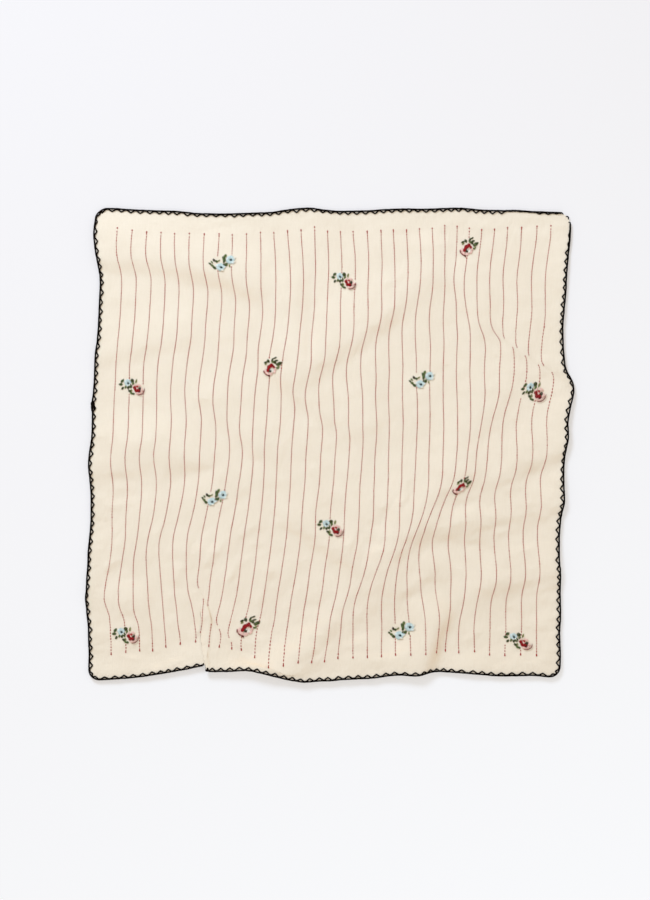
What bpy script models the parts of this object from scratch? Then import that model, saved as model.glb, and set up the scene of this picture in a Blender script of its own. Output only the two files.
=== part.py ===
"""An embroidered scarf lying flat: a square of thin cloth in soft folds, with a crochet edging.

Sizes are in millimetres and are scaled to metres when the meshes are made. A point of the scarf is first
named by its place on the flat cloth, u to the right and v up from the middle, and then laid down: the
table of sections says how the cloth lies as a whole, and the table of folds draws it up along each fold.
"""
import bmesh
import bpy
import numpy as np

MM = 0.001

# The cloth, flat.
SIDE = 540.0
HALF = SIDE / 2
CORNER = 11.0
CLOTH_THICKNESS = 1.2

# The stripes are sewn on later, and are used here as the columns that the sections are measured at.
STRIPES = 33
PITCH = 15.5

# The crochet edging: an outer chain beside the cloth's edge, and teeth that lie in over the hem.
TEETH = 53
TOOTH_DEPTH = 4.6
TOOTH_ROOT = 0.6
RAIL_WIDTH = 2.0
YARN = 1.2
PIECE_GAP = 0.45

# The cloth's grid has a cell for each tooth, so that a tooth lies over one flat facet of the cloth.
CELLS = TEETH

# The lying cloth from above: the height of a section, then where the numbered stripes cross it.
LYING_HALF = 245.0
STRIPE_COLUMNS = (1, 5, 9, 13, 17, 21, 25, 29, 33)
SECTIONS = (
    (245, -222, -162, -102, -45, 10, 66, 120, 173, 232),
    (220, -223, -162, -102, -44, 11, 67, 120, 172, 231),
    (180, -220, -160, -101, -42, 12, 68, 120, 168, 226),
    (140, -220, -160, -101, -43, 10, 65, 118, 170, 226),
    (100, -224, -163, -102, -48, 7, 63, 119, 174, 225),
    (60, -225, -167, -107, -52, 5, 62, 119, 175, 232),
    (20, -227, -167, -107, -53, 6, 63, 119, 170, 227),
    (-20, -229, -168, -107, -55, 5, 61, 116, 166, 224),
    (-60, -228, -170, -112, -57, 1, 58, 109, 161, 222),
    (-100, -230, -177, -119, -61, -2, 54, 100, 158, 219),
    (-140, -233, -178, -123, -66, -8, 46, 98, 158, 219),
    (-180, -233, -175, -125, -72, -15, 40, 98, 154, 218),
    (-220, -230, -172, -125, -79, -19, 40, 97, 152, 216),
    (-245, -229, -171, -125, -80, -19, 40, 97, 152, 216),
)
# Where the top and bottom edges lie at the same stripes.
TOP_EDGE = (246.0, 243.0, 240.5, 246.5, 244.0, 245.5, 246.5, 244.5, 243.0)
BOTTOM_EDGE = (-242.5, -234.0, -231.5, -241.5, -246.0, -242.0, -237.0, -236.5, -240.5)

# The folds. Each runs from its first point to its second along the middle of its steep face, which looks
# to the right of that run. bow bends the run to its left. height is the crest's, half is half the steep
# face's width and tail the width of the gentle side. draw is the cloth drawn up across the fold, and
# slide how far the cloth on the right is pushed along the run.
FOLD_COLUMNS = ("x0", "y0", "x1", "y1", "bow", "height", "half", "tail", "draw", "slide")
FOLDS = {
    "upper left": (-275, 186, -28, 127, 22, 3.4, 15, 55, 3, 3),
    "upper middle": (-55, 38, 113, 164, 4, 2.8, 15, 50, 5, -2),
    "upper middle rise": (110, 148, 127, 222, 0, 1.5, 14, 35, 1.5, 0),
    "left, high": (-275, 75, -111, 108, 5, 1.5, 11, 45, 1, -1.2),
    "middle sweep": (-96, 127, 60, -1, -24, 1.2, 10, 45, 3, 1.5),
    "middle rise": (46, -16, 65, 140, 0, 0.9, 10, 35, 1, 0),
    "middle left": (-160, 65, -56, -29, 0, 1.3, 11, 40, 2, 1.5),
    "top rise": (-31, 80, -25, 195, 0, 1.5, 11, 32, 1.5, 0),
    "right lap": (156, 132, 264, 60, -4, 0.2, 12, 30, 15, 0),
    "right lap, top": (120, 192, 161, 103, 0, 1.4, 9, 32, 3, 4),
    "right slant": (127, -33, 219, 79, 7, 1.4, 16, 36, 6, -1),
    "left, middle": (-275, 2, -150, -2, 0, 1.3, 10, 32, 1, -1.5),
    "left, low": (-275, -48, -106, -26, 12, 2.4, 17, 44, 3, 2),
    "lower left rise": (-258, -168, -132, -74, 16, 0.6, 16, 36, 3, -1.5),
    "lower left edge": (-275, -159, -182, -191, 2, 1.4, 11, 26, 3, 4),
    "bottom tuck": (-143, -150, -111.5, -275, -8.5, 1.0, 3, 22, 12, -2),
    "bottom tuck, open": (-147, -138, -141, -205, 0, 0, 5, 20, -5, 0),
    "bottom gather": (-121, -275, -128, -160, 0, 0.6, 6, 20, 7, -1),
    "bottom lap": (-87, -227, -155, -131, 0, 0.3, 8.4, 22, 10.5, 0),
    "right edge, high": (120, -63, 277, 16, -11, 2.7, 14, 42, 6, -3),
    "right edge, middle": (67, -110, 275, -61, 0, 2.1, 13, 36, 4, -2),
    "right edge, low": (136, -166, 275, -139, 4, 2.6, 14, 34, 4, -2),
    "long slant": (44, -201, 198, 16, 18, 2.8, 18, 46, 8, -2),
    "long slant, upper": (-26, -208, 136, -14, -6, 0.9, 14, 40, 6, -2),
    "long slant, side": (2, -154, 106, -8, 4, 0.9, 10, 34, 2.5, -1),
    "short slant": (63, -174, 131, -125, 0, 1.8, 8, 30, 2, 0),
    "bottom rise": (91, -275, 133, -155, 0, 4.6, 14, 36, 7, 0),
    "bottom slant": (-104, -275, 50, -176, -4, 2.2, 17, 32, 4, -2),
    "bottom slant, low": (-66, -238, 122, -226, 2, 2.2, 10, 26, 1, 0),
    "middle cross": (-72, -66, 34, -140, 0, 1.3, 9, 32, 0.5, 0),
    "bottom hem": (-106, -226, -20, -240, 0, 0.8, 7, 24, 13, 0),
}
# How far each side of the outline lies outside the folded cloth, at flat places along it, and how far in
# the cloth follows.
RIMS = {
    "top": (
        (-270, 0.3), (-240, 0.2), (-200, 0.6), (-160, 0.7), (-140, 0.9), (-120, 1.6), (-108, 0.7), (-96, -0.5),
        (-78, -2.0), (-60, -0.3), (-48, 1.0), (-36, 1.3), (-24, 0.5), (-12, 0.5), (24, -0.3), (72, 1.2),
        (110, -0.1), (132, 0.6), (150, 1.0), (170, 0.2), (192, 0.2), (210, 0.9), (228, 0.1), (250, 0.3),
    ),
    "bottom": (
        (-270, 0.0), (-252, 1.4), (-240, 2.1), (-228, 4.0), (-216, 4.7), (-190, 4.2), (-165, 3.2), (-150, 2.3),
        (-140, 2.2), (-132, 2.8), (-120, 1.6), (-108, 0.8), (-96, -1.2), (-84, -1.7), (-66, 0.2), (-48, 1.8),
        (-36, 4.1), (-24, 7.0), (-12, 5.2), (0, 2.3), (12, 1.6), (24, 2.3), (36, 1.7), (72, 2.2), (96, 0.6),
        (112, 2.8), (132, 0.9), (144, 1.1), (156, 2.0), (168, 2.4), (192, 2.9), (210, 3.2), (228, 1.3),
        (264, 0.5),
    ),
    "left": (
        (-270, 2.2), (-252, 1.8), (-228, 0.7), (-210, 0.6), (-192, 2.7), (-180, 1.5), (-168, -0.6), (-156, 0.3),
        (-144, 1.8), (-126, 3.5), (-96, 1.8), (-72, 1.6), (-48, 0.5), (-36, 0.0), (-24, 0.2), (-6, -0.3),
        (12, 0.6), (36, 1.1), (48, 1.4), (64, 0.2), (84, -0.9), (102, 0.0), (120, -1.0), (156, 0.4),
        (180, 0.2), (200, 0.8), (214, 0.2), (228, 0.3), (246, 0.9), (264, 0.3),
    ),
    "right": (
        (-264, 0.8), (-246, 1.7), (-216, -0.3), (-192, 0.6), (-180, 1.1), (-168, 0.9), (-156, -0.4),
        (-144, -1.6),
        (-132, -2.2), (-114, -1.2), (-90, 0.4), (-72, -0.1), (-60, 0.2), (-48, 1.0), (-36, 2.4), (-24, 3.1),
        (-12, 1.5), (0, 0.1), (12, -0.3), (24, -1.3), (36, -1.3), (48, -0.2), (60, 1.8), (78, 2.1), (96, 3.9),
        (108, 4.2), (120, 1.7), (138, -1.6), (156, -1.8), (180, 0.8), (204, 0.7), (228, -0.7), (252, -1.5),
    ),
}
RIM_REACH = 30.0
# The share of a fold's length over which it fades at an end, how far to its sides the cloth follows, and
# how far out an end lies when the fold runs off the cloth instead of fading.
FADE = 0.3
REACH = 34.0
OFF_CLOTH = LYING_HALF + 20
# A steep face is at least this many times its draw across on each side, so that the cloth never overlaps.
LEAST_HALF = 1.3

COLOURS = {"scarf_cloth": (0.84, 0.77, 0.66), "crochet_edging": (0.030, 0.022, 0.018)}


def step(t):
    """A smooth rise from 0 to 1."""
    t = np.clip(t, 0.0, 1.0)
    return t * t * (3.0 - 2.0 * t)


def through(knots, values, at):
    """A smooth curve through values at knots. values has a row a knot and a column a point."""
    slopes = np.gradient(values, knots, axis=0)
    k = np.clip(np.searchsorted(knots, at) - 1, 0, len(knots) - 2)
    span = knots[k + 1] - knots[k]
    t = (at - knots[k]) / span
    past = np.clip(t - 1.0, 0.0, None) + np.clip(t, None, 0.0)
    t = np.clip(t, 0.0, 1.0)
    i = np.arange(len(at))
    low_slope, high_slope = slopes[k, i] * span, slopes[k + 1, i] * span
    smooth = (
        (1 + 2 * t) * (1 - t) ** 2 * values[k, i] + t * (1 - t) ** 2 * low_slope
        + t * t * (3 - 2 * t) * values[k + 1, i] + t * t * (t - 1) * high_slope
    )
    return smooth + past * np.where(past > 0, high_slope, low_slope)


def rounded(u, v):
    """Flat points of the square, with its corners drawn in to quarter circles."""
    inner = HALF - CORNER
    a = np.clip(np.abs(u) - inner, 0, None) / CORNER
    b = np.clip(np.abs(v) - inner, 0, None) / CORNER
    shrink = np.where((a > 0) & (b > 0), np.maximum(a, b) / np.maximum(np.hypot(a, b), 1e-9), 1.0)
    return (
        np.sign(u) * (np.minimum(np.abs(u), inner) + a * shrink * CORNER),
        np.sign(v) * (np.minimum(np.abs(v), inner) + b * shrink * CORNER),
    )


def laid(u, v):
    """Where flat points lie before the folds draw them up."""
    def same_for_all(values):
        return np.repeat(np.array(values, float)[:, None], len(u), 1)

    rows = np.array(SECTIONS, float)[::-1]
    at = v * LYING_HALF / HALF
    columns = np.array([through(rows[:, 0], same_for_all(rows[:, c]), at) for c in range(1, rows.shape[1])])
    stripe_u = (np.array(STRIPE_COLUMNS) - (STRIPES + 1) / 2) * PITCH
    top = through(stripe_u, same_for_all(TOP_EDGE), u)
    bottom = through(stripe_u, same_for_all(BOTTOM_EDGE), u)
    return through(stripe_u, columns, u), bottom + (top - bottom) * (v + HALF) / SIDE


def folded(x, y):
    """How far the folds move each lying point, and how high they lift it."""
    dx, dy, z = np.zeros_like(x), np.zeros_like(x), np.zeros_like(x)
    for row in FOLDS.values():
        fold = dict(zip(FOLD_COLUMNS, row))
        run_x, run_y = fold["x1"] - fold["x0"], fold["y1"] - fold["y0"]
        length = np.hypot(run_x, run_y)
        tx, ty = run_x / length, run_y / length
        along = ((x - fold["x0"]) * tx + (y - fold["y0"]) * ty) / length
        inside = np.clip(along, 0, 1)
        bend = 4 * fold["bow"] * inside * (1 - inside)
        lean = 4 * fold["bow"] * (1 - 2 * inside) / length
        across = ((y - fold["y0"]) * tx - (x - fold["x0"]) * ty - bend) / np.hypot(1, lean)
        rx, ry = (tx - lean * ty) / np.hypot(1, lean), (ty + lean * tx) / np.hypot(1, lean)
        strength = np.ones_like(x)
        if max(abs(fold["x0"]), abs(fold["y0"])) < OFF_CLOTH:
            strength *= step(along / FADE)
        if max(abs(fold["x1"]), abs(fold["y1"])) < OFF_CLOTH:
            strength *= step((1 - along) / FADE)
        half = max(fold["half"], LEAST_HALF * fold["draw"])
        face = step((across + half) / (2 * half))
        z += fold["height"] * strength * face * step(1 - (across - half) / fold["tail"])
        side = (2 * face - 1) * strength * (1 - step((np.abs(across) - half) / REACH))
        dx += (ry * fold["draw"] - rx * fold["slide"]) / 2 * side
        dy += (-rx * fold["draw"] - ry * fold["slide"]) / 2 * side
    return dx, dy, z


def rim_shift(u, v):
    """How far the rim lies outside the folded square, to the right and up."""
    def side(name, place, from_edge):
        places, shifts = np.array(RIMS[name], float).T
        outside = through(places, np.repeat(shifts[:, None], len(place), 1), place)
        return outside * step(1 - from_edge / RIM_REACH)

    return (
        side("right", v, HALF - u) - side("left", v, HALF + u),
        side("top", u, HALF - v) - side("bottom", u, HALF + v),
    )


def lying(u, v):
    """The underside of the lying cloth at flat points."""
    flat_u, flat_v = rounded(u, v)
    x, y = laid(flat_u, flat_v)
    dx, dy, z = folded(x, y)
    rim_x, rim_y = rim_shift(flat_u, flat_v)
    return np.stack([x + dx + rim_x, y + dy + rim_y, z], -1)


def cloth_grid():
    """The underside of the lying cloth at every corner of its flat grid, by column and row."""
    line = np.linspace(-HALF, HALF, CELLS + 1)
    u, v = np.meshgrid(line, line, indexing="ij")
    return lying(u.ravel(), v.ravel()).reshape(CELLS + 1, CELLS + 1, 3)


def diagonal_rises(i, j):
    """Whether a cell is split along its rising diagonal, so that all splits run out from the middle."""
    return (i < CELLS / 2) == (j < CELLS / 2)


def on_grid(grid, u, v):
    """Points of the faceted cloth at flat points, carried on past its edge."""
    at_u, at_v = (u + HALF) / SIDE * CELLS, (v + HALF) / SIDE * CELLS
    i = np.clip(np.floor(at_u).astype(int), 0, CELLS - 1)
    j = np.clip(np.floor(at_v).astype(int), 0, CELLS - 1)
    a, b = (at_u - i)[:, None], (at_v - j)[:, None]
    p00, p10, p01, p11 = grid[i, j], grid[i + 1, j], grid[i, j + 1], grid[i + 1, j + 1]
    rising = np.where(a > b, p00 + (p10 - p00) * a + (p11 - p10) * b, p00 + (p11 - p01) * a + (p01 - p00) * b)
    falling = np.where(
        a + b < 1,
        p00 + (p10 - p00) * a + (p01 - p00) * b,
        p11 + (p01 - p11) * (1 - a) + (p10 - p11) * (1 - b),
    )
    return np.where(diagonal_rises(i, j)[:, None], rising, falling)


def rim():
    """Flat points around the cloth's edge, counterclockwise, two for each tooth: its side and its tip."""
    line = np.linspace(-HALF, HALF, 2 * TEETH + 1)[:-1]
    edge = np.full_like(line, HALF)
    return (
        np.concatenate([line, edge, -line, -edge]),
        np.concatenate([-edge, line, edge, -line]),
    )


def ring(grid, u, v, out, lift):
    """Points over the faceted cloth, a distance out from its edge and lifted off its underside.

    Past the edge, where the cloth's slope is carried on, they stay off the ground.
    """
    reach = HALF + out
    ring_u = np.where(np.abs(u) == HALF, np.sign(u) * reach, np.clip(u, -reach, reach))
    ring_v = np.where(np.abs(v) == HALF, np.sign(v) * reach, np.clip(v, -reach, reach))
    points = on_grid(grid, ring_u, ring_v)
    points[:, 2] = np.maximum(points[:, 2], 0) + lift
    return points


def make_object(name, points, faces):
    """A closed mesh object of the named piece, in metres."""
    mesh = bpy.data.meshes.new(name)
    mesh.from_pydata((np.asarray(points) * MM).tolist(), [], faces)
    shape = bmesh.new()
    shape.from_mesh(mesh)
    bmesh.ops.recalc_face_normals(shape, faces=shape.faces)
    shape.to_mesh(mesh)
    shape.free()
    material = bpy.data.materials.new(name)
    material.use_nodes = True
    surface = material.node_tree.nodes["Principled BSDF"]
    surface.inputs["Base Color"].default_value = (*COLOURS[name], 1)
    surface.inputs["Roughness"].default_value = 0.9
    surface.inputs["Metallic"].default_value = 0.0
    mesh.materials.append(material)
    mesh.shade_smooth()
    thing = bpy.data.objects.new(name, mesh)
    bpy.context.collection.objects.link(thing)
    return thing


def make_cloth(grid, shift):
    """The cloth, hem and all: one sheet on the folds, its underside on the ground between them."""
    size = CELLS + 1
    under = (grid + shift).reshape(-1, 3)
    points = np.concatenate([under, under + (0, 0, CLOTH_THICKNESS)])
    number = np.arange(size * size).reshape(size, size)
    faces = []
    for i in range(CELLS):
        for j in range(CELLS):
            a, b, c, d = number[i, j], number[i + 1, j], number[i + 1, j + 1], number[i, j + 1]
            split = ((a, b, c), (a, c, d)) if diagonal_rises(i, j) else ((a, b, d), (b, c, d))
            for p, q, r in split:
                faces.append((int(r), int(q), int(p)))
                faces.append(tuple(int(n) + size * size for n in (p, q, r)))
    around = np.concatenate([number[:-1, 0], number[-1, :-1], number[:0:-1, -1], number[0, :0:-1]])
    for p, q in zip(around, np.roll(around, -1)):
        p, q = int(p), int(q)
        faces.append((p, q, q + size * size, p + size * size))
    return make_object("scarf_cloth", points, faces)


def make_edging(grid, shift):
    """The crochet edging: a rail round the cloth's edge, and a tooth over each facet of the hem."""
    u, v = rim()
    is_tip = np.arange(len(u)) % 2 == 1
    over = CLOTH_THICKNESS + PIECE_GAP
    root = ring(grid, u, v, -TOOTH_ROOT, 0)
    tip = ring(grid, u, v, -TOOTH_DEPTH, 0)
    inner = np.where(is_tip[:, None], tip, root)
    sections = np.stack([
        ring(grid, u, v, PIECE_GAP + RAIL_WIDTH, 0),
        ring(grid, u, v, PIECE_GAP + RAIL_WIDTH, over + YARN),
        inner + (0, 0, over + YARN),
        inner + (0, 0, over),
        ring(grid, u, v, PIECE_GAP, over),
        ring(grid, u, v, PIECE_GAP, 0),
    ], 1) + shift
    stations, corners = sections.shape[:2]
    faces = []
    for s in range(stations):
        for c in range(corners):
            here, there = s * corners, (s + 1) % stations * corners
            d = (c + 1) % corners
            faces.append((here + c, there + c, there + d, here + d))
    return make_object("crochet_edging", sections.reshape(-1, 3), faces)


def main():
    for thing in list(bpy.data.objects):
        bpy.data.objects.remove(thing, do_unlink=True)
    grid = cloth_grid()
    # The origin is on the ground, under the middle of the whole outline.
    outline = ring(grid, *rim(), PIECE_GAP + RAIL_WIDTH, 0)
    middle = (outline.min(0) + outline.max(0)) / 2
    shift = np.array([-middle[0], -middle[1], 0.0])
    make_cloth(grid, shift)
    make_edging(grid, shift)


main()
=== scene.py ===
"""The looks of an embroidered scarf that lies flat: its cloth, stitched stripes, sprigs and edging.

Lengths are in millimetres and are scaled to metres when the meshes are made. A point is first named by
its place on the flat cloth, u to the right and v up from the middle, and then laid down by the same
sections and folds as the solids. Sewing is placed on the flat cloth too, so it follows every fold.
"""

import bpy
import numpy as np
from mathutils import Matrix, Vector


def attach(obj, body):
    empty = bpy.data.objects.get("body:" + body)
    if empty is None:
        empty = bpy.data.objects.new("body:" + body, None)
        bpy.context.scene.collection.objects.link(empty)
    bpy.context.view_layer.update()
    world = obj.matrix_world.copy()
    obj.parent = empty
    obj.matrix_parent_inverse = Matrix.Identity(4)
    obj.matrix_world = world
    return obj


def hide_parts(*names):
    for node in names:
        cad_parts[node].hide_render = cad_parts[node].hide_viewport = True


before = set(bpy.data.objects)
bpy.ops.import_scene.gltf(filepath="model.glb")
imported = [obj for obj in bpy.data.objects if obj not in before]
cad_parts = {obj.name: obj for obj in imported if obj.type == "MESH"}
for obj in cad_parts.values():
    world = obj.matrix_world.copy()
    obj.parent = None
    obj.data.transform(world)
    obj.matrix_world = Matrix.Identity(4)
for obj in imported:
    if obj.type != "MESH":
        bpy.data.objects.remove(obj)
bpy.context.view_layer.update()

MM = 0.001

# The cloth, flat.
SIDE = 540.0
HALF = SIDE / 2
CORNER = 11.0
THICKNESS = 0.42
HEM = 5.0
HEM_THICKNESS = 0.75

# The stripes.
STRIPES = 33
PITCH = 15.5
STRIPE_END = HALF - 23.0

# The crochet edging.
TEETH = 53
RAIL_OUT = 0.95
TIP_IN = 2.55
CHAIN_RADIUS = 0.65
LEG_RADIUS = 0.70
LEG_SWELL = 0.15
HOOK_RADIUS = 0.50
KNOT_RADIUS = 0.45

# Where the edging lies under the cloth, where it rolls under and looks thinner, and where its teeth are
# rolled out of sight: a place along the edge, as round_the_edge counts it, half the length there in
# millimetres, and the share that is hidden.
UNDER_CLOTH = (
    (0.2430, 5.0, 1.0),
    (2.006, 2.0, 1.0),
    (1.985, 0.6, 1.0),
)
ROLLED_RAIL = (
    (1.997, 9.0, 0.40),
)
ROLLED_TEETH = (
    (2.105, 15.0, 0.72),
    (2.055, 11.0, 0.30),
    (1.995, 17.0, 0.90),
    (1.950, 9.0, 0.45),
    (3.026, 5.0, 0.35),
)

# The edging's knots on the left edge: where, how far out, loops, a loop's size, the knot's length along the
# edge and its height.
KNOTS = (
    ((-248.0, 39.5), 0.3, 8, 2.15, 6.4, 1.45),
    ((-242.5, 244.0), -2.2, 3, 1.15, 0.8, 2.0),
)

# The lying cloth from above: the height of a section, then where the numbered stripes cross it.
LYING_HALF = 245.0
STRIPE_COLUMNS = (1, 5, 9, 13, 17, 21, 25, 29, 33)
SECTIONS = (
    (245, -222, -162, -102, -45, 10, 66, 120, 173, 232),
    (220, -223, -162, -102, -44, 11, 67, 120, 172, 231),
    (180, -220, -160, -101, -42, 12, 68, 120, 168, 226),
    (140, -220, -160, -101, -43, 10, 65, 118, 170, 226),
    (100, -224, -163, -102, -48, 7, 63, 119, 174, 225),
    (60, -225, -167, -107, -52, 5, 62, 119, 175, 232),
    (20, -227, -167, -107, -53, 6, 63, 119, 170, 227),
    (-20, -229, -168, -107, -55, 5, 61, 116, 166, 224),
    (-60, -228, -170, -112, -57, 1, 58, 109, 161, 222),
    (-100, -230, -177, -119, -61, -2, 54, 100, 158, 219),
    (-140, -233, -178, -123, -66, -8, 46, 98, 158, 219),
    (-180, -233, -175, -125, -72, -15, 40, 98, 154, 218),
    (-220, -230, -172, -125, -79, -19, 40, 97, 152, 216),
    (-245, -229, -171, -125, -80, -19, 40, 97, 152, 216),
)
# Where the top and bottom edges lie at the same stripes.
TOP_EDGE = (246.0, 243.0, 240.5, 246.5, 244.0, 245.5, 246.5, 244.5, 243.0)
BOTTOM_EDGE = (-242.5, -234.0, -231.5, -241.5, -246.0, -242.0, -237.0, -236.5, -240.5)

# The folds. Each runs from its first point to its second along the middle of its steep face, which looks
# to the right of that run. bow bends the run to its left. height is the crest's, half is half the steep
# face's width and tail the width of the gentle side. draw is the cloth drawn up across the fold, and
# slide how far the cloth on the right is pushed along the run.
FOLD_COLUMNS = ("x0", "y0", "x1", "y1", "bow", "height", "half", "tail", "draw", "slide")
FOLDS = {
    "upper left": (-275, 186, -28, 127, 22, 3.4, 15, 55, 3, 3),
    "upper middle": (-55, 38, 113, 164, 4, 2.8, 15, 50, 5, -2),
    "upper middle rise": (110, 148, 127, 222, 0, 1.5, 14, 35, 1.5, 0),
    "left, high": (-275, 75, -111, 108, 5, 1.5, 11, 45, 1, -1.2),
    "middle sweep": (-96, 127, 60, -1, -24, 1.2, 10, 45, 3, 1.5),
    "middle rise": (46, -16, 65, 140, 0, 0.9, 10, 35, 1, 0),
    "middle left": (-160, 65, -56, -29, 0, 1.3, 11, 40, 2, 1.5),
    "top rise": (-31, 80, -25, 195, 0, 1.5, 11, 32, 1.5, 0),
    "right lap": (156, 132, 264, 60, -4, 0.2, 12, 30, 15, 0),
    "right lap, top": (120, 192, 161, 103, 0, 1.4, 9, 32, 3, 4),
    "right slant": (127, -33, 219, 79, 7, 1.4, 16, 36, 6, -1),
    "left, middle": (-275, 2, -150, -2, 0, 1.3, 10, 32, 1, -1.5),
    "left, low": (-275, -48, -106, -26, 12, 2.4, 17, 44, 3, 2),
    "lower left rise": (-258, -168, -132, -74, 16, 0.6, 16, 36, 3, -1.5),
    "lower left edge": (-275, -159, -182, -191, 2, 1.4, 11, 26, 3, 4),
    "bottom tuck": (-143, -150, -111.5, -275, -8.5, 1.0, 3, 22, 12, -2),
    "bottom tuck, open": (-147, -138, -141, -205, 0, 0, 5, 20, -5, 0),
    "bottom gather": (-121, -275, -128, -160, 0, 0.6, 6, 20, 7, -1),
    "bottom lap": (-87, -227, -155, -131, 0, 0.3, 8.4, 22, 10.5, 0),
    "right edge, high": (120, -63, 277, 16, -11, 2.7, 14, 42, 6, -3),
    "right edge, middle": (67, -110, 275, -61, 0, 2.1, 13, 36, 4, -2),
    "right edge, low": (136, -166, 275, -139, 4, 2.6, 14, 34, 4, -2),
    "long slant": (44, -201, 198, 16, 18, 2.8, 18, 46, 8, -2),
    "long slant, upper": (-26, -208, 136, -14, -6, 0.9, 14, 40, 6, -2),
    "long slant, side": (2, -154, 106, -8, 4, 0.9, 10, 34, 2.5, -1),
    "short slant": (63, -174, 131, -125, 0, 1.8, 8, 30, 2, 0),
    "bottom rise": (91, -275, 133, -155, 0, 4.6, 14, 36, 7, 0),
    "bottom slant": (-104, -275, 50, -176, -4, 2.2, 17, 32, 4, -2),
    "bottom slant, low": (-66, -238, 122, -226, 2, 2.2, 10, 26, 1, 0),
    "middle cross": (-72, -66, 34, -140, 0, 1.3, 9, 32, 0.5, 0),
    "bottom hem": (-106, -226, -20, -240, 0, 0.8, 7, 24, 13, 0),
}
# How far each side of the outline lies outside the folded cloth, at flat places along it, and how far in
# the cloth follows.
RIMS = {
    "top": {
        -270: 0.3, -240: 0.2, -200: 0.6, -160: 0.7, -140: 0.9, -120: 1.6, -108: 0.7, -96: -0.5, -78: -2.0,
        -60: -0.3, -48: 1.0, -36: 1.3, -24: 0.5, -12: 0.5, 24: -0.3, 72: 1.2, 110: -0.1, 132: 0.6, 150: 1.0,
        170: 0.2, 192: 0.2, 210: 0.9, 228: 0.1, 250: 0.3,
    },
    "bottom": {
        -270: 0.0, -252: 1.4, -240: 2.1, -228: 4.0, -216: 4.7, -190: 4.2, -165: 3.2, -150: 2.3, -140: 2.2,
        -132: 2.8, -120: 1.6, -108: 0.8, -96: -1.2, -84: -1.7, -66: 0.2, -48: 1.8, -36: 4.1, -24: 7.0,
        -12: 5.2, 0: 2.3, 12: 1.6, 24: 2.3, 36: 1.7, 72: 2.2, 96: 0.6, 112: 2.8, 132: 0.9, 144: 1.1,
        156: 2.0, 168: 2.4, 192: 2.9, 210: 3.2, 228: 1.3, 264: 0.5,
    },
    "left": {
        -270: 2.2, -252: 1.8, -228: 0.7, -210: 0.6, -192: 2.7, -180: 1.5, -168: -0.6, -156: 0.3, -144: 1.8,
        -126: 3.5, -96: 1.8, -72: 1.6, -48: 0.5, -36: 0.0, -24: 0.2, -6: -0.3, 12: 0.6, 36: 1.1, 48: 1.4,
        64: 0.2, 84: -0.9, 102: 0.0, 120: -1.0, 156: 0.4, 180: 0.2, 200: 0.8, 214: 0.2, 228: 0.3, 246: 0.9,
        264: 0.3,
    },
    "right": {
        -264: 0.8, -246: 1.7, -216: -0.3, -192: 0.6, -180: 1.1, -168: 0.9, -156: -0.4, -144: -1.6,
        -132: -2.2, -114: -1.2, -90: 0.4, -72: -0.1, -60: 0.2, -48: 1.0, -36: 2.4, -24: 3.1, -12: 1.5,
        0: 0.1, 12: -0.3, 24: -1.3, 36: -1.3, 48: -0.2, 60: 1.8, 78: 2.1, 96: 3.9, 108: 4.2, 120: 1.7,
        138: -1.6, 156: -1.8, 180: 0.8, 204: 0.7, 228: -0.7, 252: -1.5,
    },
}
RIM_REACH = 30.0
# How far up from the common line some stripes end, at the top and at the bottom.
STRIPE_TOPS = {
    1: 2.0, 2: 1.0, 5: -1.2, 12: -2.8, 13: -1.0, 15: 3.3, 23: 1.2, 24: 1.4, 25: 4.2, 26: 3.4, 27: 1.9,
    28: 1.3, 29: 2.9, 30: 4.4, 31: 4.9, 32: 6.8, 33: 8.3,
}
STRIPE_BOTTOMS = {
    1: 3.0, 2: 3.3, 3: 2.9, 4: 1.2, 5: 3.5, 6: 4.1, 7: 3.8, 8: 5.6, 9: 1.3, 10: 1.5, 11: 1.3, 12: 8.0,
    13: 5.1, 14: -2.5, 15: 1.3, 16: 3.4, 17: -0.8, 18: -1.7, 28: -1.3, 30: -1.9, 31: -1.6,
}
# The share of a fold's length over which it fades at an end, how far to its sides the cloth follows, and
# how far out an end lies when the fold runs off the cloth instead of fading.
FADE = 0.3
REACH = 34.0
OFF_CLOTH = LYING_HALF + 20
# In the solids a steep face is at least this many times its draw across on each side. Their middle is the
# frame's origin, so it is found here from the same outline.
SOLID_LEAST_HALF = 1.3
SOLID_RAIL_OUT = 2.45
# A lap is shaded as if its steep face were this many times its draw across, and takes in the stitches
# where the cloth covers less than this share of its flat area.
LAP_SOFTNESS = 0.9
LAP_TAKES_IN = 0.265

# The cloth's mesh: its cells a side, and where its lines lie closer: the places, how far around each, and
# how much closer.
CLOTH_CELLS = 218
FINE_ACROSS = ((-118, 222), 34, 1.0)
FINE_UP = ((-225, 95), 38, 0.9)

# Fine unevenness of the cloth: the size of a dimple across and up, and its height.
CRINKLES = (
    (30.0, 24.0, 0.34),
    (15.0, 9.5, 0.26),
    (6.5, 5.0, 0.10),
)
# How strong the dimples are at the upper left and at the lower right.
CRINKLE_SHARE_HIGH = 0.75
CRINKLE_SHARE_LOW = 1.55
# Below this height a crinkle or crease nears the ground softly and never reaches it.
SOFT_HEIGHT = 0.3
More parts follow.
